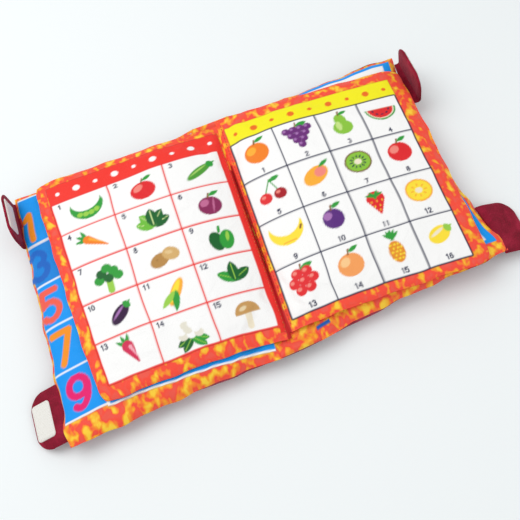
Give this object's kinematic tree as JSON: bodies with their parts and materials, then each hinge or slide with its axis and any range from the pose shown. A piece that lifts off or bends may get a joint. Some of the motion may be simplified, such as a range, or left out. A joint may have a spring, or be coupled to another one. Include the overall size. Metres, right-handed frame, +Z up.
{
  "type": "cushion book",
  "caption": "Stuffed cloth picture book lying open: two cushion covers, padded pages sewn into the gutter, and plush closing tabs with hook and loop patches.",
  "frame": {"origin": "on the surface that the open book rests on, under the middle of the gutter", "axes": "+X from the gutter towards the right page's fore edge, +Y along the gutter towards the head of the pages, +Z up"},
  "size_m": [0.5857, 0.312, 0.06],
  "materials": {
    "maroon_plush": "short-pile plush",
    "cover_print_cloth": "printed polyester, satin",
    "page_print_cloth": "printed polyester, satin",
    "lining_print_cloth": "printed polyester, satin",
    "polyester_fibre": "loose fibre",
    "hook_tape": "woven nylon with hooks",
    "loop_tape": "brushed nylon loops"
  },
  "bodies": {
    "right_cover": {"right_cover_face": "cover_print_cloth", "right_cover_shell": "maroon_plush", "right_cover_filling": "polyester_fibre", "spine_lining": "lining_print_cloth", "spine_outer": "maroon_plush"},
    "left_cover": {"left_cover_face": "cover_print_cloth", "left_cover_shell": "maroon_plush", "left_cover_filling": "polyester_fibre"},
    "left_page": {"left_page_front": "page_print_cloth", "left_page_back": "lining_print_cloth", "left_page_wadding": "polyester_fibre"},
    "right_page": {"right_page_front": "page_print_cloth", "right_page_back": "lining_print_cloth", "right_page_wadding": "polyester_fibre"},
    "left_top_tab": {"left_top_tab": "maroon_plush", "left_top_hook_patch": "hook_tape"},
    "left_bottom_tab": {"left_bottom_tab": "maroon_plush", "left_bottom_hook_patch": "hook_tape"},
    "right_top_tab": {"right_top_tab": "maroon_plush", "right_top_loop_patch": "loop_tape"},
    "right_bottom_tab": {"right_bottom_tab": "maroon_plush", "right_bottom_loop_patch": "loop_tape"}
  },
  "joints": [
    {"name": "cover_fold", "type": "hinge", "parent": "right_cover", "child": "left_cover", "pos_m": [0, 0, 0.0502], "axis": [0, 1, 0], "range_deg": [0, 180]},
    {"name": "left_page_turn", "type": "hinge", "parent": "left_cover", "child": "left_page", "pos_m": [0, 0, 0.0502], "axis": [0, -1, 0], "range_deg": [-180, 0]},
    {"name": "right_page_turn", "type": "hinge", "parent": "right_cover", "child": "right_page", "pos_m": [0, 0, 0.0502], "axis": [0, 1, 0], "range_deg": [-180, 0]},
    {"name": "left_top_tab_fold", "type": "hinge", "parent": "left_cover", "child": "left_top_tab", "pos_m": [-0.2584, 0.12, 0.02], "axis": [0, 1, 0], "range_deg": [-112, 0]},
    {"name": "left_bottom_tab_fold", "type": "hinge", "parent": "left_cover", "child": "left_bottom_tab", "pos_m": [-0.2584, -0.12, 0.02], "axis": [0, 1, 0], "range_deg": [0, 112]},
    {"name": "right_top_tab_fold", "type": "hinge", "parent": "right_cover", "child": "right_top_tab", "pos_m": [0.2521, 0.12, 0.02], "axis": [0, -1, 0], "range_deg": [-120, 0]},
    {"name": "right_bottom_tab_fold", "type": "hinge", "parent": "right_cover", "child": "right_bottom_tab", "pos_m": [0.2521, -0.12, 0.02], "axis": [0, -1, 0], "range_deg": [0, 112]}
  ]
}
